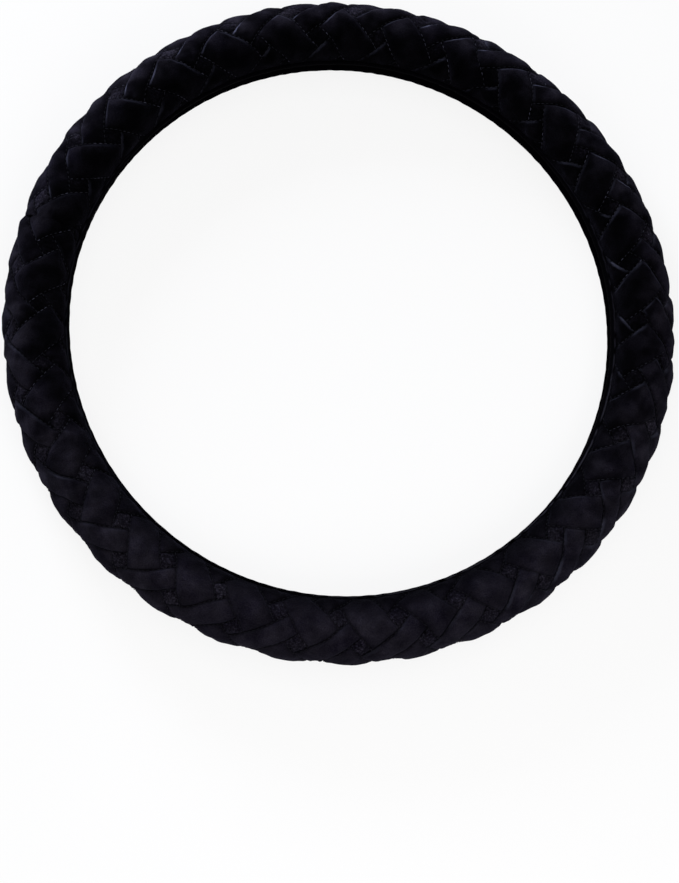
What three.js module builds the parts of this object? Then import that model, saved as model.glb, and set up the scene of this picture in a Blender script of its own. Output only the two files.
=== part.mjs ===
// Quilted steering wheel cover, lying flat on its back.
// Millimetres, +Z up. The origin is the ring's centre, on the surface that it lies on.
// The ring's front faces +Z, and its top faces +Y.

import * as THREE from "three";

const radians = THREE.MathUtils.degToRad;

// The tube: its section is a C that opens towards the ring's centre.
// Tube angles start at the outermost line of the tube and grow over the front to the inside.
const RING_RADIUS = 174.4; // from the ring's centre to the centre line of the tube
const SEAM_RADIUS = 18.4; // from the centre line to the sewn lines of the quilting
const PAD_HEIGHT = 2.2; // how far a pad swells above its sewn lines
const CHANNEL_RADIUS = 14.6; // from the centre line to the inside of the foam
const EDGE_RADIUS = 18.2; // from the centre line to the face of the thin, unquilted edge
const LIP_ANGLE = radians(158); // where the cloth, the foam and the rubber end
const EDGE_FADE = radians(16); // the stretch over which the pads flatten to the edge
const REST_FLAT = 0.8; // how far the lowest pads are pressed flat

// The basket weave of the quilting: narrow bands slant outwards along the ring,
// and wide bands cross them towards the ring's centre.
const REPEATS = 31;
const NARROW_SLANT = radians(42.5); // slant of the narrow bands to the ring's line
const WIDE_SLANT = radians(55.6); // slant of the wide bands to the ring's line
const NARROW_BAND = 13.6; // width of a narrow band, measured along a wide one
const WIDE_BAND = 20.4; // width of a wide band, measured along a narrow one
const PATTERN_START = radians(331.7); // ring angle of a pad's first corner
const PATTERN_TURN = radians(65); // tube angle of the same corner
const PAD_SQUARENESS = 4; // 2 gives a round pad, more gives a flatter top

// The strips round both edges, and the rubber in the channel.
const CLEARANCE = 0.3; // between pieces that lie on each other
const GRIP_WALL = 1.6;
const FIRST_GRIP_END = radians(11.25); // ring angle where the first arc of rubber starts
const BAND_THICKNESS = 1.2;
const BAND_FRONT_WIDTH = 6.2; // on the outer face
const BAND_INSIDE_WIDTH = 4.4; // on the rubber, inside the channel

// Steps of the round shapes.
const RING_STEPS = 64; // on a whole ring
const CHANNEL_STEPS = 12;
const PAD_STEPS = 3; // faces across the width of a band
const SNAP_ANGLE = radians(5); // pattern corners this near the quilting's end move onto it

const TUBE_HEIGHT = SEAM_RADIUS + PAD_HEIGHT - REST_FLAT;
const BAND_RADIUS = EDGE_RADIUS + CLEARANCE; // to the inside of the strip on the outer face
const QUILT_ANGLE = LIP_ANGLE - (BAND_FRONT_WIDTH + CLEARANCE) / BAND_RADIUS; // quilting's end
const REPEAT_LENGTH = (2 * Math.PI * RING_RADIUS) / REPEATS;
const SLANT_SUM = Math.sin(NARROW_SLANT + WIDE_SLANT);
const WIDE_PITCH = (REPEAT_LENGTH * Math.sin(NARROW_SLANT)) / SLANT_SUM; // along a wide band
const NARROW_PITCH = (REPEAT_LENGTH * Math.sin(WIDE_SLANT)) / SLANT_SUM; // along a narrow band
const WIDE_GAP = NARROW_PITCH - WIDE_BAND; // between two wide bands
const NARROW_GAP = WIDE_PITCH - NARROW_BAND; // between two narrow bands
const PATTERN_RADIUS = SEAM_RADIUS + PAD_HEIGHT / 2;

const velour = { color: 0x0f0e13, roughness: 0.95, metalness: 0 };
const plainVelour = { color: 0x0c0b10, roughness: 0.95, metalness: 0 };
const rubber = { color: 0x121212, roughness: 0.75, metalness: 0 };

function tubePoint(ringAngle, tubeAngle, radius) {
  const reach = RING_RADIUS + radius * Math.cos(tubeAngle);
  const height = TUBE_HEIGHT + radius * Math.sin(tubeAngle);
  return [reach * Math.cos(ringAngle), reach * Math.sin(ringAngle), height];
}

// Swell across one pad, from 0 at its sewn edges to 1 in its middle.
function swell(distance, length) {
  const offset = Math.abs((2 * distance) / length - 1);
  return 1 - offset ** PAD_SQUARENESS;
}

// Height of the pads, 0 to 1, at a distance u along the wide bands and v along the narrow ones.
// Where two bands cross, the narrow one is on top in every second place.
function padShape(u, v) {
  const i = Math.floor(u / WIDE_PITCH);
  const j = Math.floor(v / NARROW_PITCH);
  const alongWide = u - i * WIDE_PITCH;
  const alongNarrow = v - j * NARROW_PITCH;
  const onNarrow = alongWide < NARROW_BAND;
  const onWide = alongNarrow >= WIDE_GAP;
  const even = (i + j) % 2 === 0;
  const narrowPad = WIDE_BAND + 2 * WIDE_GAP;
  const widePad = NARROW_BAND + 2 * NARROW_GAP;
  if (onNarrow && (even || !onWide)) {
    const start = even ? 0 : NARROW_PITCH;
    return swell(alongWide, NARROW_BAND) * swell(start + alongNarrow, narrowPad);
  }
  if (onWide) {
    const start = !onNarrow && even ? -NARROW_BAND : NARROW_GAP;
    return swell(start + alongWide, widePad) * swell(alongNarrow - WIDE_GAP, WIDE_BAND);
  }
  return 0;
}

// How far the surface has become the plain edge at a tube angle: 0 on the quilting, 1 at its end.
function edgeShare(tubeAngle) {
  const share = 1 - (QUILT_ANGLE - Math.abs(tubeAngle)) / EDGE_FADE;
  return THREE.MathUtils.smoothstep(share, 0, 1);
}

function surfaceRadius(tubeAngle, pad) {
  const share = edgeShare(tubeAngle);
  const base = THREE.MathUtils.lerp(SEAM_RADIUS, EDGE_RADIUS, share);
  return base + PAD_HEIGHT * pad * (1 - share);
}

// Grid lines within one pitch: the edges of a band, and the steps across it.
function bandLines(gapBefore, bandWidth, lineCount) {
  const lines = [0];
  for (let step = gapBefore > 0 ? 0 : 1; lines.length < lineCount; step += 1) {
    lines.push(gapBefore + (bandWidth * step) / PAD_STEPS);
  }
  return lines;
}

const LINES = PAD_STEPS + 1;
const wideLines = bandLines(0, NARROW_BAND, LINES);
const narrowLines = bandLines(WIDE_GAP, WIDE_BAND, LINES);

function linePlace(index, lines, pitch) {
  const turn = Math.floor(index / LINES);
  return turn * pitch + lines[index - turn * LINES];
}

// The quilted face, as points on the tube and faces between them.
class QuiltedFace {
  constructor() {
    this.points = [];
    this.faces = [];
    this.known = new Map();
  }

  pointAt(a, b) {
    const turns = Math.floor(a / (LINES * REPEATS));
    const column = a - turns * LINES * REPEATS;
    const row = b - turns * LINES * REPEATS;
    const key = `${column},${row}`;
    if (!this.known.has(key)) {
      const u = linePlace(column, wideLines, WIDE_PITCH);
      const v = linePlace(row, narrowLines, NARROW_PITCH);
      const along = u * Math.cos(WIDE_SLANT) + v * Math.cos(NARROW_SLANT);
      const across = u * Math.sin(WIDE_SLANT) - v * Math.sin(NARROW_SLANT);
      const ring = PATTERN_START - along / RING_RADIUS;
      let tube = PATTERN_TURN + across / PATTERN_RADIUS;
      if (Math.abs(Math.abs(tube) - QUILT_ANGLE) < SNAP_ANGLE) {
        tube = Math.sign(tube) * QUILT_ANGLE;
      }
      this.known.set(key, this.points.length);
      this.points.push({ ring, tube, pad: padShape(u, v) });
    }
    return this.known.get(key);
  }

  // The point where the line between two points meets the end of the quilting.
  crossing(from, to, limit) {
    const key = `${Math.min(from, to)}-${Math.max(from, to)}`;
    if (!this.known.has(key)) {
      const start = this.points[from];
      const end = this.points[to];
      const turn = Math.round((end.ring - start.ring) / (2 * Math.PI)) * 2 * Math.PI;
      const share = (limit - start.tube) / (end.tube - start.tube);
      const ring = start.ring + share * (end.ring - turn - start.ring);
      this.known.set(key, this.points.length);
      this.points.push({ ring, tube: limit, pad: 0 });
    }
    return this.known.get(key);
  }

  // Keeps the part of a face between the two ends of the quilting.
  trimmed(face) {
    let kept = face;
    for (const side of [1, -1]) {
      const beyond = (index) => side * this.points[index].tube - QUILT_ANGLE;
      const next = [];
      kept.forEach((index, place) => {
        const following = kept[(place + 1) % kept.length];
        if (beyond(index) <= 0) next.push(index);
        if (beyond(index) * beyond(following) < 0) {
          next.push(this.crossing(index, following, side * QUILT_ANGLE));
        }
      });
      kept = next;
    }
    const inside = kept.some((index) => Math.abs(this.points[index].tube) < QUILT_ANGLE);
    return inside ? kept : [];
  }

  // Splits a face into triangles, with the ridge through its higher corners.
  addFace(corners) {
    const pad = corners.map((index) => this.points[index].pad);
    const turned = pad[1] + pad[3] > pad[0] + pad[2];
    const face = this.trimmed(turned ? [...corners.slice(1), corners[0]] : corners);
    for (let place = 2; place < face.length; place += 1) {
      this.faces.push([face[0], face[place - 1], face[place]]);
    }
  }

  // The points on one end of the quilting, in order round the ring.
  edge(side) {
    const onEdge = [...this.points.keys()].filter((index) => {
      return this.used.has(index) && this.points[index].tube === side * QUILT_ANGLE;
    });
    return onEdge.sort((a, b) => fullTurn(this.points[a].ring) - fullTurn(this.points[b].ring));
  }

  finish() {
    this.used = new Set(this.faces.flat());
  }
}

function fullTurn(angle) {
  return THREE.MathUtils.euclideanModulo(angle, 2 * Math.PI);
}

function quiltedFace() {
  const quilt = new QuiltedFace();
  const rowAngle = (WIDE_PITCH * Math.sin(WIDE_SLANT)) / PATTERN_RADIUS;
  const lastRow = Math.ceil((QUILT_ANGLE - PATTERN_TURN) / rowAngle);
  const firstRow = Math.floor((-QUILT_ANGLE - PATTERN_TURN) / rowAngle);
  for (let i = 0; i < REPEATS; i += 1) {
    for (let row = firstRow; row <= lastRow; row += 1) {
      for (let cell = 0; cell < LINES * LINES; cell += 1) {
        const a = i * LINES + (cell % LINES);
        const b = (i - row) * LINES + Math.floor(cell / LINES);
        const near = [quilt.pointAt(a, b), quilt.pointAt(a + 1, b)];
        const far = [quilt.pointAt(a + 1, b + 1), quilt.pointAt(a, b + 1)];
        quilt.addFace([...near, ...far]);
      }
    }
  }
  quilt.finish();
  return quilt;
}

// A closed body that is put together from loops of points round the ring.
class RingBody {
  constructor() {
    this.positions = [];
    this.triangles = [];
  }

  addPoint(ring, tube, radius) {
    const [x, y, z] = tubePoint(ring, tube, radius);
    this.positions.push(x, y, Math.max(z, 0));
    return { index: this.positions.length / 3 - 1, ring: fullTurn(ring) };
  }

  addLoop(tube, radius) {
    const loop = [];
    for (let step = 0; step < RING_STEPS; step += 1) {
      loop.push(this.addPoint((2 * Math.PI * step) / RING_STEPS, tube, radius));
    }
    return loop;
  }

  // Fills the strip between two loops, with any number of points in each.
  // Seen from outside, the first loop is on the right of one who walks round the ring.
  stitch(first, second) {
    const at = (loop, place) => {
      const turns = Math.floor(place / loop.length);
      return loop[place % loop.length].ring + 2 * Math.PI * turns;
    };
    let a = 0;
    let b = 0;
    while (a < first.length || b < second.length) {
      const here = first[a % first.length].index;
      const there = second[b % second.length].index;
      const stepFirst = at(first, a + 1) + at(first, a) <= at(second, b + 1) + at(second, b);
      if (b >= second.length || (a < first.length && stepFirst)) {
        a += 1;
        this.triangles.push(here, first[a % first.length].index, there);
      } else {
        b += 1;
        this.triangles.push(here, second[b % second.length].index, there);
      }
    }
  }

  geometry() {
    const shape = new THREE.BufferGeometry();
    shape.setAttribute("position", new THREE.Float32BufferAttribute(this.positions, 3));
    shape.setIndex(this.triangles);
    shape.computeVertexNormals();
    return shape;
  }
}

function channelAngles() {
  const angles = [];
  for (let step = 0; step <= CHANNEL_STEPS; step += 1) {
    angles.push(LIP_ANGLE * ((2 * step) / CHANNEL_STEPS - 1));
  }
  return angles;
}

// Velour quilted onto foam. Its face carries the pads, and its inside is the smooth channel.
function quiltedCover() {
  const quilt = quiltedFace();
  const body = new RingBody();
  const placed = new Map();
  for (const index of quilt.used) {
    const { ring, tube, pad } = quilt.points[index];
    placed.set(index, body.addPoint(ring, tube, surfaceRadius(tube, pad)));
  }
  for (const face of quilt.faces) {
    body.triangles.push(...face.map((index) => placed.get(index).index));
  }
  const backEnd = quilt.edge(-1).map((index) => placed.get(index));
  const frontEnd = quilt.edge(1).map((index) => placed.get(index));
  const backLip = body.addLoop(-LIP_ANGLE, EDGE_RADIUS);
  const frontLip = body.addLoop(LIP_ANGLE, EDGE_RADIUS);
  const channel = channelAngles().map((angle) => body.addLoop(angle, CHANNEL_RADIUS));
  body.stitch(backLip, backEnd);
  body.stitch(frontEnd, frontLip);
  body.stitch(frontLip, channel[CHANNEL_STEPS]);
  for (let step = CHANNEL_STEPS; step > 0; step -= 1) {
    body.stitch(channel[step], channel[step - 1]);
  }
  body.stitch(channel[0], backLip);
  return body.geometry();
}

// A point of a tube section for turning round the ring, moved on past its angle by a length.
function sectionPoint(radius, tubeAngle, past = 0) {
  const cos = Math.cos(tubeAngle);
  const sin = Math.sin(tubeAngle);
  const reach = RING_RADIUS + radius * cos - past * sin;
  const height = TUBE_HEIGHT + radius * sin + past * cos;
  return new THREE.Vector2(reach, height);
}

// Turns a closed section, listed anticlockwise, round the ring's axis.
function turned(section) {
  const shape = new THREE.LatheGeometry([...section, section[0].clone()], RING_STEPS);
  return shape.rotateX(Math.PI / 2);
}

// Turns a closed section, listed anticlockwise, along an arc of the ring. The flat faces that close
// its two ends use the wall's own corners.
function turnedArc(section, start, length) {
  const steps = Math.round((RING_STEPS * length) / (2 * Math.PI));
  const outline = [...section, section[0].clone()];
  const shape = new THREE.LatheGeometry(outline, steps, start + Math.PI / 2, length);
  const last = steps * outline.length;
  const triangles = [...shape.index.array];
  for (const [a, b, c] of THREE.ShapeUtils.triangulateShape(section, [])) {
    triangles.push(a, b, c, last + a, last + c, last + b);
  }
  shape.setIndex(triangles);
  return shape.rotateX(Math.PI / 2);
}

const GRIP_OUTSIDE = CHANNEL_RADIUS - CLEARANCE;
const GRIP_INSIDE = GRIP_OUTSIDE - GRIP_WALL;
const GRIP_PLACES = ["upper_right", "upper_left", "lower_left", "lower_right"];

// One arc of the elastic rubber that lines the channel and grips the wheel's rim.
// The arcs lie end to end, so that each one's channel has a straight way out through its mouth.
function gripArc(place) {
  const angles = channelAngles();
  const outside = angles.map((angle) => sectionPoint(GRIP_OUTSIDE, angle));
  const inside = angles.map((angle) => sectionPoint(GRIP_INSIDE, angle)).reverse();
  const share = (2 * Math.PI) / GRIP_PLACES.length;
  const gap = CLEARANCE / RING_RADIUS;
  const start = FIRST_GRIP_END + GRIP_PLACES.indexOf(place) * share + gap / 2;
  return turnedArc([...outside, ...inside], start, share - gap);
}

// A strip of plain velour, folded round the edges of the quilting and the rubber.
// The side is 1 for the front edge and -1 for the back one.
function edgeBand(side) {
  const outerHigh = BAND_RADIUS + BAND_THICKNESS;
  const innerHigh = GRIP_INSIDE - CLEARANCE;
  const innerLow = innerHigh - BAND_THICKNESS;
  const foldInside = CLEARANCE;
  const foldOutside = CLEARANCE + BAND_THICKNESS;
  const outerStart = LIP_ANGLE - BAND_FRONT_WIDTH / BAND_RADIUS;
  const innerStart = LIP_ANGLE - BAND_INSIDE_WIDTH / innerHigh;
  const corner = BAND_THICKNESS / 2;
  const outline = [
    [outerHigh - corner, outerStart],
    [outerHigh, outerStart + corner / outerHigh],
    [outerHigh, LIP_ANGLE],
    [outerHigh - corner, LIP_ANGLE, foldOutside],
    [innerLow + corner, LIP_ANGLE, foldOutside],
    [innerLow, LIP_ANGLE],
    [innerLow, innerStart],
    [innerHigh, innerStart],
    [innerHigh, LIP_ANGLE, foldInside],
    [BAND_RADIUS, LIP_ANGLE, foldInside],
    [BAND_RADIUS, outerStart],
  ];
  const section = outline.map(([radius, angle, past = 0]) => {
    return sectionPoint(radius, side * angle, side * past);
  });
  return turned(side > 0 ? section : section.reverse());
}

function piece(name, shape, look) {
  const mesh = new THREE.Mesh(shape, new THREE.MeshStandardMaterial(look));
  mesh.name = name;
  return mesh;
}

const cover = new THREE.Group();
cover.add(piece("quilted_cover", quiltedCover(), velour));
cover.add(piece("front_edge_band", edgeBand(1), plainVelour));
cover.add(piece("back_edge_band", edgeBand(-1), plainVelour));
for (const place of GRIP_PLACES) {
  cover.add(piece(`grip_${place}`, gripArc(place), rubber));
}

export default cover;
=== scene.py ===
"""Quilted velour steering wheel cover, lying on its back and seen from above."""

import math

import bpy
import numpy as np
from mathutils import Matrix, Vector


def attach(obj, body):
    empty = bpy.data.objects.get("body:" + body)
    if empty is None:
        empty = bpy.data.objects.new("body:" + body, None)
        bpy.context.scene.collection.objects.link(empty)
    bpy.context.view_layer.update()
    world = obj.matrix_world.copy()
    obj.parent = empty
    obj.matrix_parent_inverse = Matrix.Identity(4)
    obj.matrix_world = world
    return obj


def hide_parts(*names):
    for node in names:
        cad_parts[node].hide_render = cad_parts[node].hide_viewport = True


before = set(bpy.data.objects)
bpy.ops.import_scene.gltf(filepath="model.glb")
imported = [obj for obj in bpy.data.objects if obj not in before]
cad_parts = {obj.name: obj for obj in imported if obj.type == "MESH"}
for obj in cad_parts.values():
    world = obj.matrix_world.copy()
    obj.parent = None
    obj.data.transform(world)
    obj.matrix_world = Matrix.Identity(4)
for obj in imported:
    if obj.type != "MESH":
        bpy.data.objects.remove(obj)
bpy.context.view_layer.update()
BODY = "root"

# Driving sizes, in metres and radians. The tube's section is a C that opens towards the ring's centre.
RING_RADIUS = 0.1744
SEAM_RADIUS = 0.0184
PAD_HEIGHT = 0.0022
EDGE_RADIUS = 0.0182
CHANNEL_RADIUS = 0.0146
LIP_ANGLE = math.radians(158)
REST_FLAT = 0.0008
CLEARANCE = 0.0003
GRIP_WALL = 0.0016
BAND_THICKNESS = 0.0012
BAND_FRONT_WIDTH = 0.0062
BAND_INSIDE_WIDTH = 0.0044
WIDE_STRIP, NARROW_STRIP = 0.0038, 0.0018

# The basket weave of the quilting.
REPEATS = 31
NARROW_SLANT = math.radians(42.5)
WIDE_SLANT = math.radians(55.6)
NARROW_BAND = 0.0136
WIDE_BAND = 0.0204
PATTERN_START = math.radians(331.7)
PATTERN_TURN = math.radians(65)
EDGE_FADE = math.radians(10)

TUBE_HEIGHT = SEAM_RADIUS + PAD_HEIGHT - REST_FLAT
BAND_RADIUS = EDGE_RADIUS + CLEARANCE
AROUND = 2 * math.pi * RING_RADIUS
SLANT_SUM = math.sin(NARROW_SLANT + WIDE_SLANT)
WIDE_PITCH = AROUND / REPEATS * math.sin(NARROW_SLANT) / SLANT_SUM
NARROW_PITCH = AROUND / REPEATS * math.sin(WIDE_SLANT) / SLANT_SUM
WIDE_GAP = NARROW_PITCH - WIDE_BAND
NARROW_GAP = WIDE_PITCH - NARROW_BAND
PATTERN_RADIUS = SEAM_RADIUS + PAD_HEIGHT / 2

# The seam that joins the strip end to end, and how far the pattern has slipped when it gets there.
JOIN_ANGLE = math.radians(161)
SLIP_START = math.radians(239)
SLIP = 0.0047
JOIN_DEPTH = 0.0015
JOIN_WIDTH = 0.0016

# The velour's own room: it is cut a little larger than the foam, and swells between its seams.
CLOTH_SCALE = 20
CLOTH_SPARE = 0.07
CLOTH_PRESSURE = 14
CLOTH_FRAMES = 16
MOST_SWELL = 0.0033
MOST_SINK = 0.0002
CREASE = 0.55
SHEET_ANGLE = math.radians(154)


def tube_point(ring, tube, radius):
    """Points from the angles round the ring and round the tube, and the distance from the tube's middle."""
    ring, tube, radius = np.broadcast_arrays(ring, tube, radius)
    reach = RING_RADIUS + radius * np.cos(tube)
    height = TUBE_HEIGHT + radius * np.sin(tube)
    return np.stack([reach * np.cos(ring), reach * np.sin(ring), height], -1)


def smooth(x):
    """A soft step, which is 0 up to 0 and 1 from 1 on."""
    x = np.clip(x, 0, 1)
    return x * x * (3 - 2 * x)


STRIP_START = (PATTERN_START - JOIN_ANGLE) * RING_RADIUS - AROUND


def slip(along):
    """How far the pattern has slipped at a place along the strip, growing towards the joining seam."""
    before_join = (STRIP_START + AROUND - along) / RING_RADIUS
    return SLIP * np.clip(1 - before_join / (SLIP_START - JOIN_ANGLE), 0, 1)


def pattern(u, v):
    """Strip coordinates of a place u along the wide bands and v along the narrow ones."""
    along = u * math.cos(WIDE_SLANT) + v * math.cos(NARROW_SLANT)
    across = u * math.sin(WIDE_SLANT) - v * math.sin(NARROW_SLANT)
    return along, across


def swell(distance, length, power):
    """A rounded bump over a length, 0 at its ends and 1 in its middle."""
    return 1 - np.abs(2 * distance / length - 1) ** power


def pad_shape(u, v, power=3.0):
    """Height of the pads, 0 on a sewn line and 1 in the middle of a pad."""
    i, j = np.floor(u / WIDE_PITCH + 1e-7), np.floor(v / NARROW_PITCH + 1e-7)
    a, b = u - i * WIDE_PITCH, v - j * NARROW_PITCH
    on_narrow, on_wide = a < NARROW_BAND - 1e-8, b > WIDE_GAP - 1e-8
    even = (i + j) % 2 == 0
    narrow_pad, wide_pad = WIDE_BAND + 2 * WIDE_GAP, NARROW_BAND + 2 * NARROW_GAP
    narrow = swell(a, NARROW_BAND, power) * swell(np.where(even, 0, NARROW_PITCH) + b, narrow_pad, power)
    start = np.where(~on_narrow & even, -NARROW_BAND, NARROW_GAP)
    wide = swell(start + a, wide_pad, power) * swell(b - WIDE_GAP, WIDE_BAND, power)
    shape = np.where(on_narrow & (even | ~on_wide), narrow, np.where(on_wide, wide, 0))
    return np.clip(shape, 0, 1)


def on_seam(u, v):
    """Whether a place lies on a sewn line."""
    i, j = np.floor(u / WIDE_PITCH + 1e-7), np.floor(v / NARROW_PITCH + 1e-7)
    hit = np.zeros(u.shape, bool)
    for di in (-1, 0):
        for dj in (-1, 0):
            p, q = i + di, j + dj
            a, b = u - p * WIDE_PITCH, v - q * NARROW_PITCH
            even = (p + q) % 2 == 0
            side = (np.abs(a) < 1e-6) | (np.abs(a - NARROW_BAND) < 1e-6)
            hit |= even & side & (b > -1e-6) & (b < NARROW_PITCH + WIDE_GAP + 1e-6)
            side = (np.abs(b - WIDE_GAP) < 1e-6) | (np.abs(b - NARROW_PITCH) < 1e-6)
            hit |= ~even & side & (a > -NARROW_GAP - 1e-6) & (a < WIDE_PITCH + 1e-6)
    return hit


WANDER = 0.0006
WANDER_FADE = 0.3


def wander(ring, tube):
    """How far the sewn lines stray round the ring and round the tube, as two angles."""
    rng = np.random.default_rng(31)
    strays = []
    for _ in range(2):
        total = 0
        for _ in range(5):
            rate, slope = rng.integers(18, 62), rng.uniform(0.6, 2.6)
            slope = slope * rng.choice((-1, 1))
            total = total + np.sin(rate * ring + slope * tube + rng.uniform(0, 2 * math.pi))
        strays.append(WANDER * total / 2)
    free = smooth((SHEET_ANGLE - np.abs(tube)) / WANDER_FADE)
    return strays[0] * free / RING_RADIUS, strays[1] * free / PATTERN_RADIUS


def pattern_place(ring, tube):
    """Pattern coordinates of a place on the tube, the other way round from pattern()."""
    shift_ring, shift_tube = wander(ring, tube)
    shift_ring, shift_tube = wander(ring - shift_ring, tube - shift_tube)
    ring, tube = ring - shift_ring, tube - shift_tube
    along_slipped = STRIP_START + ((PATTERN_START - ring) * RING_RADIUS - STRIP_START) % AROUND
    along = along_slipped
    for _ in range(3):
        along = along_slipped + slip(along)
    across = (tube - PATTERN_TURN) * PATTERN_RADIUS + slip(along)
    u = (along * math.sin(NARROW_SLANT) + across * math.cos(NARROW_SLANT)) / SLANT_SUM
    v = (along * math.sin(WIDE_SLANT) - across * math.cos(WIDE_SLANT)) / SLANT_SUM
    return u, v


def seam_distance(u, v):
    """Distance to the nearest sewn line, the place along it, and 1 where it edges a narrow band."""
    i, j = np.floor(u / WIDE_PITCH), np.floor(v / NARROW_PITCH)
    best = np.full(u.shape, 1.0)
    place, narrow = np.zeros(u.shape), np.zeros(u.shape)

    def offer(gap, past, where, edges_narrow):
        nonlocal best, place, narrow
        reach = np.hypot(gap, np.maximum(past, 0))
        nearer = reach < best
        best = np.where(nearer, reach, best)
        place = np.where(nearer, where, place)
        narrow = np.where(nearer, edges_narrow, narrow)

    for di in (-1, 0, 1):
        for dj in (-1, 0, 1):
            p, q = i + di, j + dj
            a, b = u - p * WIDE_PITCH, v - q * NARROW_PITCH
            even = (p + q) % 2 == 0
            past = np.maximum(-b, b - NARROW_PITCH - WIDE_GAP)
            for line in (0, NARROW_BAND):
                offer(np.where(even, np.abs(a - line), 1.0), past, v + 0.37 * p, 1.0)
            past = np.maximum(-a - NARROW_GAP, a - WIDE_PITCH)
            for line in (WIDE_GAP, NARROW_PITCH):
                offer(np.where(even, 1.0, np.abs(b - line)), past, u + 0.53 * q, 0.0)
    return best, place, narrow


def in_gap_square(u, v):
    """1 in the small squares between the bands, 0 elsewhere."""
    a, b = u % WIDE_PITCH, v % NARROW_PITCH
    return ((a > NARROW_BAND) & (b < WIDE_GAP)).astype(float)


def strip_width(ring):
    """Width of the plain strip's outer face: wide at the left and right, narrow at the top and bottom."""
    return NARROW_STRIP + (WIDE_STRIP - NARROW_STRIP) * smooth(0.15 + 0.9 * np.cos(2 * ring))


def quilt_end(ring):
    """Angle round the tube at which the quilting goes under the plain strip."""
    return LIP_ANGLE - (strip_width(ring) + CLEARANCE) / BAND_RADIUS


def edge_share(ring, tube):
    """0 on the quilting, growing to 1 where it ends and its pads have faded out."""
    return smooth(1 - (quilt_end(ring) - np.abs(tube)) / EDGE_FADE)


def join_groove(ring):
    """Depth of the groove that the joining seam pulls into the cover."""
    turn = (ring - JOIN_ANGLE + math.pi) % (2 * math.pi) - math.pi
    return JOIN_DEPTH * np.exp(-((turn * RING_RADIUS / JOIN_WIDTH) ** 2))


def surface_radius(ring, tube, pad):
    """Distance from the tube's middle to the velour, for a pad's share of its full height."""
    share = edge_share(ring, tube)
    return SEAM_RADIUS + (EDGE_RADIUS - SEAM_RADIUS) * share + PAD_HEIGHT * pad * (1 - share)


# Places of the sheet's lines across each pitch, close together beside a seam, and the pitches that it has.
WIDE_LINES = np.array([0, 0.9, 2.8, 5.4, 8.2, 10.8, 12.7]) / 13.6 * NARROW_BAND
WIDE_LINES = np.append(WIDE_LINES, NARROW_BAND + np.array([0, 0.09, 0.32, 0.68, 0.91]) * NARROW_GAP)
NARROW_LINES = np.array([0, 0.1, 0.34, 0.66, 0.9]) * WIDE_GAP
NARROW_LINES = np.append(
    NARROW_LINES, WIDE_GAP + np.array([0, 0.045, 0.17, 0.38, 0.62, 0.83, 0.955]) * WIDE_BAND
)
FIRST_PITCH, LAST_PITCH = -26, 24

# How near to its border a corner of the sheet is pulled onto it.
SNAP_ANGLE = 0.35
SNAP_LENGTH = 0.006


def quilted_sheet():
    """The sheet of velour on lines that follow the sewing, from one end of the strip to the other."""
    nw, nn = len(WIDE_LINES), len(NARROW_LINES)
    ia = np.arange(FIRST_PITCH * nw, LAST_PITCH * nw)
    ib = np.arange(FIRST_PITCH * nn, LAST_PITCH * nn)
    u = ia // nw * WIDE_PITCH + WIDE_LINES[ia % nw]
    v = ib // nn * NARROW_PITCH + NARROW_LINES[ib % nn]
    u, v = np.meshgrid(u, v, indexing="ij")
    along, across = pattern(u, v)
    ring_along, ring_across = along - slip(along), across - slip(along)
    from_start = ring_along - STRIP_START
    tube = PATTERN_TURN + ring_across / PATTERN_RADIUS
    past_tube = np.abs(tube) > SHEET_ANGLE
    past_along = (ring_along < STRIP_START) | (ring_along > STRIP_START + AROUND)

    def cell_any(flag):
        return flag[:-1, :-1] | flag[1:, :-1] | flag[:-1, 1:] | flag[1:, 1:]

    cell_tube, cell_along = cell_any(past_tube), cell_any(past_along)
    kept = ~(cell_tube | cell_along)

    def corner_any(flag):
        out = np.zeros(u.shape, bool)
        out[:-1, :-1] |= flag
        out[1:, :-1] |= flag
        out[:-1, 1:] |= flag
        out[1:, 1:] |= flag
        return out

    used = corner_any(kept)
    snap_tube = used & corner_any(cell_tube) & (np.abs(tube) > SHEET_ANGLE - SNAP_ANGLE)
    tube = np.where(snap_tube, np.sign(tube) * SHEET_ANGLE, tube)
    to_start, to_end = np.abs(from_start), np.abs(from_start - AROUND)
    snap_along = used & corner_any(cell_along) & (np.minimum(to_start, to_end) < SNAP_LENGTH)
    nearest_end = np.where(to_start < to_end, STRIP_START, STRIP_START + AROUND)
    ring_along = np.where(snap_along, nearest_end, ring_along)
    ring = PATTERN_START - ring_along / RING_RADIUS
    shift_ring, shift_tube = wander(ring, tube)
    ring, tube = ring + shift_ring, tube + shift_tube

    index = -np.ones(u.shape, int)
    index[used] = np.arange(used.sum())
    cells = np.argwhere(kept)
    a, b = cells[:, 0], cells[:, 1]
    faces = np.stack([index[a, b], index[a + 1, b], index[a + 1, b + 1], index[a, b + 1]], 1)
    border = snap_tube | snap_along
    return {
        "u": u[used], "v": v[used], "ring": ring[used], "tube": tube[used], "faces": faces,
        "border": border[used], "seam": on_seam(u, v)[used],
    }


def new_object(name, points, faces):
    mesh = bpy.data.meshes.new(name)
    mesh.from_pydata(points.tolist(), [], faces.tolist() if hasattr(faces, "tolist") else faces)
    mesh.validate()
    mesh.update()
    made = bpy.data.objects.new(name, mesh)
    bpy.context.collection.objects.link(made)
    return made


def note(made, name, values):
    """Keeps a value at each point of a piece, for its material to read."""
    attribute = made.data.attributes.new(name, "FLOAT", "POINT")
    attribute.data.foreach_set("value", np.ravel(values).astype(np.float32))


def vertices(made):
    """A piece's points, as rows."""
    co = np.zeros(len(made.data.vertices) * 3, np.float64)
    made.data.vertices.foreach_get("co", co)
    return co.reshape(-1, 3)


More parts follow.
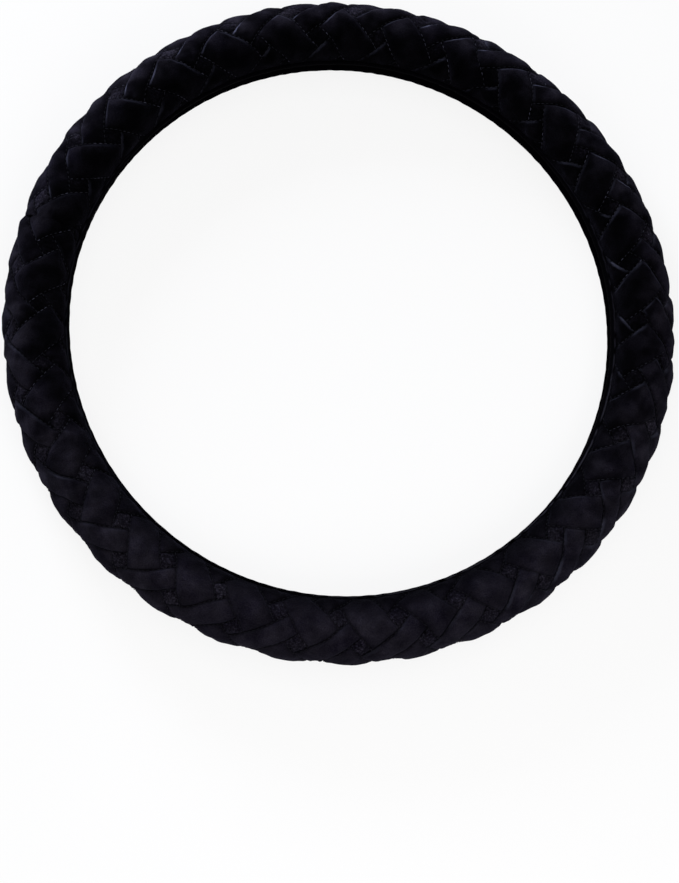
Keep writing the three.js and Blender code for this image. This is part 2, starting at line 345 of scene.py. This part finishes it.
def simulated(sheet, points):
    """The sheet after the velour has swollen between its sewn lines, with those lines held."""
    cloth = new_object("cloth_try", points * CLOTH_SCALE, sheet["faces"])
    pins = cloth.vertex_groups.new(name="pins")
    covered = np.abs(sheet["tube"]) > quilt_end(sheet["ring"])
    held = np.flatnonzero(sheet["seam"] | sheet["border"] | covered)
    pins.add(held.tolist(), 1.0, "REPLACE")
    cloth_mod = cloth.modifiers.new("cloth", "CLOTH")
    settings = cloth_mod.settings
    settings.quality = 6
    settings.mass = 0.3
    settings.tension_stiffness = 18
    settings.compression_stiffness = 12
    settings.shear_stiffness = 8
    settings.bending_stiffness = 0.6
    settings.tension_damping = 12
    settings.compression_damping = 12
    settings.shear_damping = 12
    settings.bending_damping = 1
    settings.air_damping = 3
    settings.shrink_min = -CLOTH_SPARE
    settings.use_pressure = True
    settings.uniform_pressure_force = CLOTH_PRESSURE
    settings.vertex_group_mass = "pins"
    settings.pin_stiffness = 50
    settings.effector_weights.gravity = 0
    cloth_mod.collision_settings.use_collision = False
    cloth_mod.point_cache.frame_start = 1
    cloth_mod.point_cache.frame_end = CLOTH_FRAMES
    for number in range(1, CLOTH_FRAMES + 1):
        bpy.context.scene.frame_set(number)
    shaped = vertices(cloth.evaluated_get(bpy.context.evaluated_depsgraph_get()))
    bpy.data.objects.remove(cloth, do_unlink=True)
    bpy.context.scene.frame_set(1)
    return shaped / CLOTH_SCALE


def to_tube(points):
    """Ring angle, tube angle and tube radius of points."""
    ring = np.arctan2(points[:, 1], points[:, 0])
    reach = np.hypot(points[:, 0], points[:, 1]) - RING_RADIUS
    height = points[:, 2] - TUBE_HEIGHT
    return ring, np.arctan2(height, reach), np.hypot(reach, height)


def make_cover():
    """The quilted velour: swollen, drawn in at the joining seam, divided finer and puckered."""
    sheet = quilted_sheet()
    pad = pad_shape(sheet["u"], sheet["v"])
    points = tube_point(sheet["ring"], sheet["tube"], surface_radius(sheet["ring"], sheet["tube"], pad))
    shift = simulated(sheet, points) - points
    length = np.linalg.norm(shift, axis=1, keepdims=True)
    shift *= np.minimum(1, MOST_SWELL / np.maximum(length, 1e-9))
    ring, tube, radius = to_tube(points + shift)
    least = surface_radius(sheet["ring"], sheet["tube"], 0) - MOST_SINK
    points = tube_point(ring, tube, np.clip(radius, least, least + MOST_SWELL))
    ring, tube, radius = to_tube(points)
    points = tube_point(ring, tube, radius - join_groove(ring))
    points[:, 2] = np.maximum(points[:, 2], 0.0)
    cover = new_object("quilted_velour_cover", points, sheet["faces"])
    crease_seams(cover, sheet)
    bpy.context.view_layer.objects.active = cover
    subdivision = cover.modifiers.new("fine", "SUBSURF")
    subdivision.levels = 1
    subdivision.render_levels = 1
    bpy.ops.object.select_all(action="DESELECT")
    cover.select_set(True)
    bpy.ops.object.modifier_apply(modifier=subdivision.name)
    refine(cover)
    cover.data.shade_smooth()
    return cover


def bumpy(place, other, seed, waves_per_metre):
    """A smooth random value, from -1 to 1, over two lengths."""
    rng = np.random.default_rng(seed)
    total = 0
    for _ in range(9):
        turn = rng.uniform(0, 2 * math.pi)
        rate = waves_per_metre * rng.uniform(0.5, 1.6)
        phase = rng.uniform(0, 2 * math.pi)
        along = place * math.cos(turn) + other * math.sin(turn)
        total = total + np.sin(2 * math.pi * rate * along + phase)
    return total / 4.5


# Relief of the velour beside its seams, in metres.
PINCH_DEPTH = 0.0007
PINCH_WIDTH = 0.0010
PUCKER_HEIGHT = 0.00052
PUCKER_START = 0.0008
PUCKER_REACH = 0.0030
DIMPLE_HEIGHT = 0.00030
CRUMPLE_HEIGHT = 0.00035

# Painted light and shade on the tube, and the painted shade and painted highlights along the seams.
PAINTED_INSIDE_LEVEL = 0.065
PAINTED_LIGHT_GAIN = 0.57
SLOPE_STEP = 0.0013
LIGHT_TURN = math.radians(122)
SEAM_SHADE_WIDTH = 0.0007
NEAR_SHADE_WIDTH = 0.0028
GLINT_PLACE = 0.0007
GLINT_WIDTH = 0.00045


def lower_share(ring):
    """1 in the lower part of the ring, where the painted light is brighter and more even, and 0 elsewhere."""
    return smooth(0.12 - 0.88 * np.sin(ring))


def painted_light_by_place(ring, tube):
    """Painted light and shade by place: painted shade on the inside of the tube, least so at the bottom,
    which is painted lighter.
    """
    turn = np.abs(tube)
    steep = 1.2 + 0.9 * np.clip(-np.cos(ring), 0, 1)
    above = PAINTED_INSIDE_LEVEL + PAINTED_LIGHT_GAIN * smooth((math.radians(112) - turn) / math.radians(88)) ** steep
    below = 0.03 + 0.76 * smooth((math.radians(147) - turn) / math.radians(62))
    below = below * (1 - 0.18 * smooth((math.radians(80) - turn) / math.radians(60)))
    return above + (below - above) * lower_share(ring)


def facing(ring, tube):
    """How far a pad's slope turns to the light, which comes from the upper left and a little from outside."""
    around = 0.75 * np.sin(LIGHT_TURN - ring)
    outwards = 0.2 + 0.8 * np.cos(LIGHT_TURN - ring)
    here = pad_shape(*pattern_place(ring, tube))
    beside_ring = ring + around * SLOPE_STEP / RING_RADIUS
    beside_tube = tube - np.sign(tube) * outwards * SLOPE_STEP / PATTERN_RADIUS
    return np.clip(1.6 * (here - pad_shape(*pattern_place(beside_ring, beside_tube))), -1, 1)


def seam_light(ring, tube, place, gap, turned_to_light):
    """A painted highlight along a seam, on the pad slopes turned to the light, stronger outside and at the
    top, weaker at the lower left, broken up along the seam.
    """
    outside = smooth((math.radians(128) - np.abs(tube)) / math.radians(90))
    outside = np.maximum(outside, 0.30 * smooth(np.cos(ring + math.radians(45)) * 1.5))
    broken = smooth(0.62 + 0.8 * bumpy(place, gap * 0.2, 11, 70))
    near = np.exp(-(((gap - GLINT_PLACE) / GLINT_WIDTH) ** 2))
    quiet = 1 - 0.72 * smooth(1.4 * np.cos(ring - math.radians(212)) - 0.1)
    high = 0.5 + 0.5 * smooth(np.sin(ring) + 0.5)
    turned_to_light = np.clip(4.5 * turned_to_light, 0, 1)
    return near * (0.10 + 0.90 * outside) * broken * quiet * high * turned_to_light


def refine(cover):
    """Pulls the seams in, puckers the velour beside them, and notes where each point is in the pattern, with
    the painted shade, painted light and painted highlights that the material reads.
    """
    ring, tube, radius = to_tube(vertices(cover))
    u, v = pattern_place(ring, tube)
    gap, place, narrow = seam_distance(u, v)
    square = in_gap_square(u, v)
    quilted = 1 - edge_share(ring, tube)
    pinch = PINCH_DEPTH * np.exp(-((gap / PINCH_WIDTH) ** 2))
    beside = np.exp(-gap / PUCKER_REACH) * (1 - np.exp(-((gap / PUCKER_START) ** 2)))
    puckers = bumpy(place, gap * 0.25, 3, 230) * beside
    dimples = bumpy(u, v, 4, 85) * DIMPLE_HEIGHT
    crumple = square * bumpy(u, v, 6, 330) * CRUMPLE_HEIGHT
    radius = radius + quilted * (PUCKER_HEIGHT * puckers + dimples + crumple - pinch)
    co = tube_point(ring, tube, radius)
    co[:, 2] = np.maximum(co[:, 2], 0.0)
    cover.data.vertices.foreach_set("co", co.ravel())
    # Painted shade in the seams' creases, half as strong on the wide bands' edges, and a wider painted shade
    # beside them.
    note(cover, "seam", np.exp(-((gap / SEAM_SHADE_WIDTH) ** 2)) * quilted * (0.5 + 0.5 * narrow))
    note(cover, "shade", np.exp(-((gap / NEAR_SHADE_WIDTH) ** 2)) * quilted)
    note(cover, "square", square)
    # Painted light and shade: darker on the inside of the tube and lighter at the bottom, pad slopes lit from
    # the upper left and shaded away from it, and a painted highlight on the upper outer rim; uneven is the
    # nap's random mottle.
    slope, lower = facing(ring, tube), lower_share(ring)
    flat = lower ** 2.5
    uneven = (1.25 - 0.95 * lower) * bumpy(u, v, 21, 62) + (0.5 - 0.35 * lower) * bumpy(u, v, 22, 160)
    uneven = np.exp(np.minimum(uneven, 0.6))
    painted_rim_light = smooth(np.sin(ring)) * smooth((math.radians(60) - np.abs(tube)) / math.radians(45))
    slope_share = np.where(slope > 0, 0.7 - 0.3 * flat, 0.80 - 0.45 * flat)
    lit = (1 + slope_share * slope) * (1 + 0.35 * painted_rim_light)
    note(cover, "mottle_and_painted_light", painted_light_by_place(ring, tube) * uneven * lit)
    # Painted highlights along the seams, fainter on the wide bands' edges and at the bottom.
    wide_share = 0.25 + 0.55 * smooth(np.cos(ring + math.radians(40)))
    light = seam_light(ring, tube, place, gap, slope) * (1 - 0.8 * flat)
    light = light * np.where(narrow > 0, 1, wide_share)
    note(cover, "glint", light * quilted)
    cover.data.update()


def crease_seams(cover, sheet):
    """Keeps the sewn lines sharp where the sheet is divided finer."""
    mesh = cover.data
    ends = np.zeros(len(mesh.edges) * 2, np.int32)
    mesh.edges.foreach_get("vertices", ends)
    ends = ends.reshape(-1, 2)
    sewn = sheet["seam"][ends[:, 0]] & sheet["seam"][ends[:, 1]]
    crease = mesh.attributes.new("crease_edge", "FLOAT", "EDGE")
    crease.data.foreach_set("value", np.where(sewn, CREASE, 0.0).astype(np.float32))


def turned(name, outline, steps, wobble=None, shift=None):
    """A closed section, listed as (radius, tube angle) pairs, turned round the ring."""
    radius = np.array([p[0] for p in outline])
    tube = np.array([p[1] for p in outline])
    ring = np.arange(steps) * 2 * math.pi / steps
    r = radius[None, :] + (wobble(ring)[:, None] if wobble is not None else 0)
    t = tube[None, :] + (shift(ring) if shift is not None else 0)
    points = tube_point(ring[:, None], t, r).reshape(-1, 3)
    count = len(outline)
    k, m = np.meshgrid(np.arange(steps), np.arange(count), indexing="ij")
    k2, m2 = (k + 1) % steps, (m + 1) % count
    faces = np.stack([k * count + m, k * count + m2, k2 * count + m2, k2 * count + m], -1).reshape(-1, 4)
    made = new_object(name, points, faces[:, ::-1])
    made.data.shade_smooth()
    return made


def waves(seed, count, size):
    """A smooth closed wave round the ring."""
    rng = np.random.default_rng(seed)
    turns = rng.integers(20, 170, count)
    phase = rng.uniform(0, 2 * math.pi, count)
    weight = rng.uniform(0.4, 1, count)

    def value(ring):
        total = sum(w * np.sin(n * ring + p) for n, p, w in zip(turns, phase, weight))
        return size * total / math.sqrt(count)

    return value


GRIP_OUTSIDE = CHANNEL_RADIUS - CLEARANCE
GRIP_INSIDE = GRIP_OUTSIDE - GRIP_WALL
GRIP_ARCS = ("grip_upper_right", "grip_upper_left", "grip_lower_left", "grip_lower_right")
GRIP_STEPS = 192
GRIP_OUTER_POINTS, GRIP_RIB_POINTS = 25, 165
RIB_HEIGHT = 0.00028
RIB_TURNS = 44

# The plain strips: steps round the ring, how far an edge sways, how far a face waves, and the fold's margin.
EDGE_STEPS = 720
EDGE_SWAY = 0.00022
EDGE_WOBBLE = 0.00013
FOLD_MARGIN = 0.02


def edge_band(side):
    """A plain velour strip folded round one edge of the quilting."""
    high, low = BAND_RADIUS + BAND_THICKNESS, BAND_RADIUS
    inner_high = GRIP_INSIDE - CLEARANCE
    inner_low = inner_high - BAND_THICKNESS
    start = LIP_ANGLE - BAND_FRONT_WIDTH / BAND_RADIUS
    inner_start = LIP_ANGLE - BAND_INSIDE_WIDTH / inner_high
    fold = LIP_ANGLE + (CLEARANCE + BAND_THICKNESS) / high
    fold_in = LIP_ANGLE + CLEARANCE / high
    outer = [
        (high - 0.0009, start), (high - 0.0004, start + 0.012), (high - 0.0001, start + 0.035),
        (high, start + 0.07), (high - 0.0002, start + 0.12), (high, start + 0.17),
        (high, LIP_ANGLE - FOLD_MARGIN), (high - 0.0004, fold - 0.02), (high - 0.0013, fold),
        (high - 0.003, fold + 0.004), (inner_low + 0.0016, fold + 0.03), (inner_low + 0.0006, fold + 0.02),
        (inner_low, LIP_ANGLE - 0.01), (inner_low, inner_start + 0.03), (inner_low + 0.0005, inner_start),
    ]
    inner = [
        (inner_high, inner_start), (inner_high, fold_in - 0.01), (inner_high + 0.0005, fold_in + 0.005),
        (low - 0.0004, fold_in), (low, fold_in - 0.008), (low, start),
    ]
    section = outer + inner
    outline = [(r, side * t) for r, t in section]
    held = LIP_ANGLE - FOLD_MARGIN
    moving = np.clip((held - np.array([t for _, t in section])) / (held - start), 0, 1)
    moving[len(outer) - 2:len(outer) + 2] = 0
    if side < 0:
        outline, moving = outline[::-1], moving[::-1]
    name = "front_edge_strip" if side > 0 else "back_edge_strip"

    def shift(ring):
        sway = waves(9 + side, 10, EDGE_SWAY)(ring)
        narrower = (BAND_FRONT_WIDTH - strip_width(ring) + sway) / BAND_RADIUS
        return side * narrower[:, None] * moving[None, :]

    made = turned(name, outline, EDGE_STEPS, waves(5 + side, 14, EDGE_WOBBLE), shift)
    # Painted highlight along the strip's start edge: faint at the left and right, strongest at the lower
    # right, broken up round the ring.
    ring = np.arange(EDGE_STEPS) * 2 * math.pi / EDGE_STEPS
    seen = 0.28 * smooth(0.25 + 0.9 * np.cos(2 * ring))
    seen = seen + 0.9 * smooth(2.4 * np.cos(ring + math.radians(50)) - 1.4)
    seen = np.clip(seen, 0, 1) * smooth(0.75 + 0.8 * waves(15 + side, 12, 1.0)(ring))
    painted_ridge_light = np.array([0.6, 1.0, 0.3] + [0.0] * (len(outline) - 3))
    painted_ridge_light = painted_ridge_light if side > 0 else painted_ridge_light[::-1]
    note(made, "painted_ridge_light", seen[:, None] * painted_ridge_light[None, :])
    return made


def grip():
    """The rubber lining, with fine ribs that run round the ring."""
    outline = [(GRIP_OUTSIDE, t) for t in np.linspace(-LIP_ANGLE, LIP_ANGLE, GRIP_OUTER_POINTS)]
    ribs = []
    for t in np.linspace(LIP_ANGLE, -LIP_ANGLE, GRIP_RIB_POINTS):
        ribs.append((GRIP_INSIDE + RIB_HEIGHT * (0.5 + 0.5 * math.cos(t * RIB_TURNS)), t))
    return turned("ribbed_grip", outline + ribs, GRIP_STEPS)


def stitch_lines():
    """The sewn lines as pairs of ends in pattern coordinates."""
    lines = []
    for i in range(FIRST_PITCH, LAST_PITCH):
        for j in range(FIRST_PITCH, LAST_PITCH):
            if (i + j) % 2 == 0:
                for u in (i * WIDE_PITCH, i * WIDE_PITCH + NARROW_BAND):
                    lines.append(((u, j * NARROW_PITCH), (u, (j + 1) * NARROW_PITCH + WIDE_GAP)))
            else:
                for v in (j * NARROW_PITCH + WIDE_GAP, (j + 1) * NARROW_PITCH):
                    lines.append(((i * WIDE_PITCH - NARROW_GAP, v), ((i + 1) * WIDE_PITCH, v)))
    return lines


STITCH_LENGTH = 0.0019
STITCH_PITCH = 0.0028
STITCH_RADIUS = 0.00018
STITCH_LIFT = 0.00012
STITCH_CLEAR_ANGLE = 0.02
STITCH_CLEAR_LENGTH = 0.002


def make_stitches():
    """The stitches along the sewn lines, with a painted highlight on a few of them, mostly on the wide bands'
    edges and away from the lower part of the ring.
    """
    centres, directions, wide = [], [], []
    for (u0, v0), (u1, v1) in stitch_lines():
        length = abs(u1 - u0) + abs(v1 - v0)
        count = int(length / STITCH_PITCH)
        share = (np.arange(count) + 0.5) / count
        u, v = u0 + (u1 - u0) * share, v0 + (v1 - v0) * share
        along, across = pattern(u, v)
        drift = slip(along)
        along, across = along - drift, across - drift
        ring = PATTERN_START - along / RING_RADIUS
        tube = PATTERN_TURN + across / PATTERN_RADIUS
        good = np.abs(tube) < quilt_end(ring) - STITCH_CLEAR_ANGLE
        good &= along > STRIP_START + STITCH_CLEAR_LENGTH
        good &= along < STRIP_START + AROUND - STITCH_CLEAR_LENGTH
        if not good.any():
            continue
        da, dc = pattern(u1 - u0, v1 - v0)
        step = STITCH_LENGTH / 2 / math.hypot(da, dc)
        for r, t in zip(ring[good], tube[good]):
            centres.append((r, t))
            directions.append((-da * step / RING_RADIUS, dc * step / PATTERN_RADIUS))
            wide.append(float(v0 == v1))
    centres, directions = np.array(centres), np.array(directions)
    centres += np.stack(wander(centres[:, 0], centres[:, 1]), 1)
    level = surface_radius(centres[:, 0], centres[:, 1], 0) + STITCH_LIFT - join_groove(centres[:, 0])
    start = tube_point(*(centres - directions).T, level)
    end = tube_point(*(centres + directions).T, level)
    made, each = capsules("quilting_stitches", start, end, STITCH_RADIUS)
    # Painted highlight on a few stitches, mostly on the wide bands' edges, none in the lower part of the
    # ring.
    painted_stitch_glint = np.random.default_rng(41).uniform(0, 1, len(centres)) ** 3
    painted_stitch_glint *= (0.15 + 0.85 * np.array(wide)) * (1 - lower_share(centres[:, 0]))
    note(made, "painted_stitch_glint", np.repeat(painted_stitch_glint, each))
    return made


def capsules(name, start, end, radius):
    """Short threads from start to end, as one piece, and the number of points in each."""
    sides = 6
    axis = end - start
    length = np.linalg.norm(axis, axis=1, keepdims=True)
    axis = axis / length
    middle = (start + end) / 2
    out = middle.copy()
    flat = np.hypot(middle[:, 0], middle[:, 1])
    out[:, 0] -= middle[:, 0] / flat * RING_RADIUS
    out[:, 1] -= middle[:, 1] / flat * RING_RADIUS
    out[:, 2] -= TUBE_HEIGHT
    out /= np.linalg.norm(out, axis=1, keepdims=True)
    across = np.cross(axis, out)
    places = [(0.0, 0.0, -0.2), (0.12, 0.75, 0.0), (0.5, 1.0, 0.35), (0.88, 0.75, 0.0), (1.0, 0.0, -0.2)]
    blocks = []
    for share, thick, lift in places:
        centre = start + axis * length * share + out * radius * lift
        if thick == 0:
            blocks.append(centre[:, None, :])
            continue
        angle = np.arange(sides) * 2 * math.pi / sides
        ring = across[:, None, :] * np.cos(angle)[None, :, None]
        ring = ring + out[:, None, :] * np.sin(angle)[None, :, None]
        blocks.append(centre[:, None, :] + ring * radius * thick)
    points = np.concatenate(blocks, 1)
    each = points.shape[1]
    faces = []
    for s in range(sides):
        t = (s + 1) % sides
        faces.append((0, 1 + t, 1 + s))
        for row in range(2):
            base = 1 + row * sides
            faces.append((base + s, base + t, base + sides + t, base + sides + s))
        base = 1 + 2 * sides
        faces.append((base + s, base + t, each - 1))
    total = []
    for n in range(len(points)):
        total.extend(tuple(n * each + k for k in f) for f in faces)
    made = new_object(name, points.reshape(-1, 3), total)
    made.data.shade_smooth()
    return made, each


# Colours of the looks. Those in pairs are a dark end and a light end.
PILE_COLOURS = (0.0050, 0.0042, 0.0088), (0.0196, 0.0178, 0.0252)
# The plain strips' velour, darkened with painted shade like the inside of the tube.
PLAIN_SHADED_COLOURS = (0.0003, 0.0003, 0.0005), (0.0010, 0.0008, 0.0016)
RUBBER_COLOURS = (0.008, 0.008, 0.009), (0.018, 0.018, 0.020)
THREAD_COLOURS = (0.0016, 0.0016, 0.0026), (0.0068, 0.0068, 0.0104)
FLOOR_COLOURS = (0.93, 0.93, 0.93), (0.95, 0.95, 0.95)
# The next three colours are painted highlights: along the seams, along the plain strips' start edges, and on
# a few stitches.
GLINT_COLOUR = (0.146, 0.151, 0.229)
RIDGE_HIGHLIGHT_COLOUR = (0.030, 0.030, 0.042)
STITCH_GLINT_COLOUR = (0.047, 0.047, 0.068)
PILE_SHEEN = 0.0234


def material(name):
    made = bpy.data.materials.new(name)
    made.use_nodes = True
    tree = made.node_tree
    return made, tree, tree.nodes["Principled BSDF"]


def noise(tree, coords, scale, detail=3.0, rough=0.55):
    node = tree.nodes.new("ShaderNodeTexNoise")
    node.inputs["Scale"].default_value = scale
    node.inputs["Detail"].default_value = detail
    node.inputs["Roughness"].default_value = rough
    tree.links.new(coords, node.inputs["Vector"])
    return node.outputs["Fac"]


def ramp(tree, value, low, high, dark, light):
    node = tree.nodes.new("ShaderNodeValToRGB")
    node.color_ramp.elements[0].position = low
    node.color_ramp.elements[1].position = high
    node.color_ramp.elements[0].color = (*dark, 1)
    node.color_ramp.elements[1].color = (*light, 1)
    tree.links.new(value, node.inputs["Fac"])
    return node.outputs["Color"]


def math_node(tree, kind, a, b):
    node = tree.nodes.new("ShaderNodeMath")
    node.operation = kind
    for socket, value in zip(node.inputs, (a, b)):
        if isinstance(value, (int, float)):
            socket.default_value = value
        else:
            tree.links.new(value, socket)
    return node.outputs[0]


def attribute_value(tree, name):
    node = tree.nodes.new("ShaderNodeAttribute")
    node.attribute_name = name
    return node.outputs["Fac"]


def weighted(tree, first, first_share, second, second_share):
    """The sum of two values, each times its share."""
    first = math_node(tree, "MULTIPLY", first, first_share)
    return math_node(tree, "ADD", first, math_node(tree, "MULTIPLY", second, second_share))


def scaled(tree, colour, value):
    node = tree.nodes.new("ShaderNodeVectorMath")
    node.operation = "SCALE"
    tree.links.new(colour, node.inputs[0])
    tree.links.new(value, node.inputs["Scale"])
    return node.outputs[0]


def towards(tree, share, colour, other):
    """A colour, moved by a share towards another one."""
    node = tree.nodes.new("ShaderNodeMix")
    node.data_type = "RGBA"
    tree.links.new(share, node.inputs[0])
    tree.links.new(colour, node.inputs[6])
    node.inputs[7].default_value = (*other, 1)
    return node.outputs[2]


def roughen(tree, shader, height, strength, distance):
    """Fine relief on a material, from a height between 0 and 1."""
    bump = tree.nodes.new("ShaderNodeBump")
    bump.inputs["Strength"].default_value = strength
    bump.inputs["Distance"].default_value = distance
    tree.links.new(height, bump.inputs["Height"])
    tree.links.new(bump.outputs["Normal"], shader.inputs["Normal"])


def velour(name, dark, light, sheen, quilted=False):
    """Velour; where it is quilted, with painted shade along the seams, grain in the gap squares, painted
    light and shade times the nap's mottle, and painted highlights along the seams; where it is plain, a
    painted highlight along a strip's start edge.
    """
    made, tree, shader = material(name)
    coords = tree.nodes.new("ShaderNodeTexCoord").outputs["Object"]
    nap = noise(tree, coords, 95, 4, 0.6)
    patch = noise(tree, coords, 28, 2, 0.5)
    pile = noise(tree, coords, 1500, 2, 0.6)
    grain = weighted(tree, weighted(tree, nap, 0.6, patch, 0.4), 0.6, pile, 0.4)
    colour = ramp(tree, grain, 0.38, 0.62, dark, light)
    if quilted:
        # Painted shade along the seams and beside them; the gap squares get a speckled grain.
        shaded = weighted(tree, attribute_value(tree, "seam"), 0.66, attribute_value(tree, "shade"), 0.16)
        kept = math_node(tree, "SUBTRACT", 1.0, shaded)
        speck = math_node(tree, "POWER", noise(tree, coords, 750, 2, 0.7), 4.0)
        speck = math_node(tree, "SUBTRACT", math_node(tree, "MULTIPLY", speck, 9.0), 0.6)
        dusty = math_node(tree, "MULTIPLY", attribute_value(tree, "square"), speck)
        colour = scaled(tree, colour, math_node(tree, "ADD", kept, dusty))
        # Painted light and shade over the tube, times the nap's random mottle.
        colour = scaled(tree, colour, attribute_value(tree, "mottle_and_painted_light"))
        # Painted highlights along the seams.
        colour = towards(tree, attribute_value(tree, "glint"), colour, GLINT_COLOUR)
    else:
        # Painted highlight along a plain strip's start edge.
        colour = towards(tree, attribute_value(tree, "painted_ridge_light"), colour, RIDGE_HIGHLIGHT_COLOUR)
    tree.links.new(colour, shader.inputs["Base Color"])
    shader.inputs["Roughness"].default_value = 0.95
    shader.inputs["Specular IOR Level"].default_value = 0.008
    shader.inputs["Sheen Weight"].default_value = sheen
    shader.inputs["Sheen Roughness"].default_value = 0.45
    shader.inputs["Sheen Tint"].default_value = (0.62, 0.60, 0.95, 1)
    roughen(tree, shader, weighted(tree, pile, 0.35, nap, 0.65), 0.8, 0.002)
    return made


def rubber():
    made, tree, shader = material("ribbed_rubber")
    coords = tree.nodes.new("ShaderNodeTexCoord").outputs["Object"]
    grain = noise(tree, coords, 600, 3, 0.6)
    tree.links.new(ramp(tree, grain, 0.3, 0.7, *RUBBER_COLOURS), shader.inputs["Base Color"])
    shader.inputs["Roughness"].default_value = 0.7
    shader.inputs["Specular IOR Level"].default_value = 0.13
    roughen(tree, shader, grain, 0.3, 0.0003)
    return made


def thread():
    made, tree, shader = material("black_thread")
    coords = tree.nodes.new("ShaderNodeTexCoord").outputs["Object"]
    twist = noise(tree, coords, 2500, 2, 0.5)
    colour = ramp(tree, twist, 0.35, 0.65, *THREAD_COLOURS)
    # Painted highlights on a few stitches.
    colour = towards(tree, attribute_value(tree, "painted_stitch_glint"), colour, STITCH_GLINT_COLOUR)
    tree.links.new(colour, shader.inputs["Base Color"])
    shader.inputs["Roughness"].default_value = 0.8
    shader.inputs["Specular IOR Level"].default_value = 0.08
    return made


def dress(made, look, replaced=()):
    """Gives a piece its material and its body, and hides the nodes that it replaces."""
    made.data.materials.append(look)
    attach(made, BODY)
    if replaced:
        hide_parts(*replaced)


# Camera, aimed so that the ring stands in the photograph's place.
FOCAL_PIXELS = 5794
FRAME_WIDTH, FRAME_HEIGHT = 679, 883
CENTRE_PIXEL = (340.1, 330.4)
SENSOR_WIDTH = 36


def add_camera():
    distance, lean, turn = 3.335, math.radians(12.45), math.radians(-117.5)
    centre = Vector((0, 0, TUBE_HEIGHT))
    away = Vector((math.sin(lean) * math.cos(turn), math.sin(lean) * math.sin(turn), math.cos(lean)))
    forward = -away
    up = (Vector((0, 1, 0)) - forward * forward.y).normalized()
    right = forward.cross(up)
    centre += right * ((FRAME_WIDTH / 2 - CENTRE_PIXEL[0]) / FOCAL_PIXELS * distance)
    centre -= up * ((FRAME_HEIGHT / 2 - CENTRE_PIXEL[1]) / FOCAL_PIXELS * distance)
    place = centre + away * distance
    data = bpy.data.cameras.new("camera")
    data.sensor_fit = "HORIZONTAL"
    data.sensor_width = SENSOR_WIDTH
    data.lens = FOCAL_PIXELS / FRAME_WIDTH * SENSOR_WIDTH
    data.clip_start, data.clip_end = 0.1, 50
    camera = bpy.data.objects.new("camera", data)
    bpy.context.collection.objects.link(camera)
    turned_to = Matrix((right, up, -forward)).transposed().to_4x4()
    camera.matrix_world = Matrix.Translation(place) @ turned_to
    bpy.context.scene.camera = camera


def area_light(name, place, size, power, colour):
    data = bpy.data.lights.new(name, "AREA")
    data.shape = "SQUARE"
    data.size = size
    data.energy = power
    data.color = colour
    lamp = bpy.data.objects.new(name, data)
    bpy.context.collection.objects.link(lamp)
    lamp.location = place
    lamp.rotation_mode = "QUATERNION"
    lamp.rotation_quaternion = (Vector((0, 0, 0)) - Vector(place)).to_track_quat("-Z", "Y")


def seen_share(tree, share):
    """The share given for rays that show the background, and 0 for those that light the object."""
    rays = tree.nodes.new("ShaderNodeLightPath").outputs
    seen = math_node(tree, "MAXIMUM", rays["Is Camera Ray"], rays["Is Glossy Ray"])
    return math_node(tree, "MULTIPLY", math_node(tree, "MAXIMUM", seen, rays["Is Transmission Ray"]), share)


# Strength of the world's light, and how far the floor goes from its own shade to plain white as it is seen.
WORLD_LEVEL = 0.173
FLOOR_WHITE = 0.85
FLOOR_HALF = 6.0
FLOOR_LEVEL = -0.0002

# Name, place, size, power and colour of each lamp.
LAMPS = (
    ("rim_light", (-0.75, 1.25, 0.50), 0.5, 23, (0.82, 0.87, 1.0)),
    ("overhead_light", (0.0, 0.1, 2.6), 2.6, 23.8, (1.0, 1.0, 1.0)),
    ("front_light", (0.08, -0.62, 0.55), 0.5, 2.7, (1.0, 0.98, 0.99)),
)


def add_stage():
    world = bpy.data.worlds.new("world")
    bpy.context.scene.world = world
    world.use_nodes = True
    background = world.node_tree.nodes["Background"]
    background.inputs["Color"].default_value = (1, 1, 1, 1)
    strength = math_node(world.node_tree, "ADD", seen_share(world.node_tree, 1 - WORLD_LEVEL), WORLD_LEVEL)
    world.node_tree.links.new(strength, background.inputs["Strength"])
    sides = ((-1, -1), (1, -1), (1, 1), (-1, 1))
    corners = np.array([(x * FLOOR_HALF, y * FLOOR_HALF, FLOOR_LEVEL) for x, y in sides])
    floor = new_object("floor", corners, [(0, 1, 2, 3)])
    made, tree, shader = material("floor_white")
    coords = tree.nodes.new("ShaderNodeTexCoord").outputs["Object"]
    grain = noise(tree, coords, 3, 2, 0.5)
    tree.links.new(ramp(tree, grain, 0.2, 0.8, *FLOOR_COLOURS), shader.inputs["Base Color"])
    shader.inputs["Roughness"].default_value = 0.9
    shader.inputs["Specular IOR Level"].default_value = 0.1
    white = tree.nodes.new("ShaderNodeEmission")
    mixed = tree.nodes.new("ShaderNodeMixShader")
    tree.links.new(seen_share(tree, FLOOR_WHITE), mixed.inputs[0])
    tree.links.new(shader.outputs[0], mixed.inputs[1])
    tree.links.new(white.outputs[0], mixed.inputs[2])
    tree.links.new(mixed.outputs[0], tree.nodes["Material Output"].inputs["Surface"])
    floor.data.materials.append(made)
    for lamp in LAMPS:
        area_light(*lamp)


bpy.context.scene.view_settings.view_transform = "Standard"
add_camera()
add_stage()

pile_look = velour("quilted_velour", *PILE_COLOURS, PILE_SHEEN, quilted=True)
shaded_plain_look = velour("plain_velour", *PLAIN_SHADED_COLOURS, 0.0)
cover = make_cover()
dress(cover, pile_look, ("quilted_cover",))
front = edge_band(1)
dress(front, shaded_plain_look, ("front_edge_band",))
back = edge_band(-1)
dress(back, shaded_plain_look, ("back_edge_band",))
lining = grip()
dress(lining, rubber(), GRIP_ARCS)
stitches = make_stitches()
dress(stitches, thread())
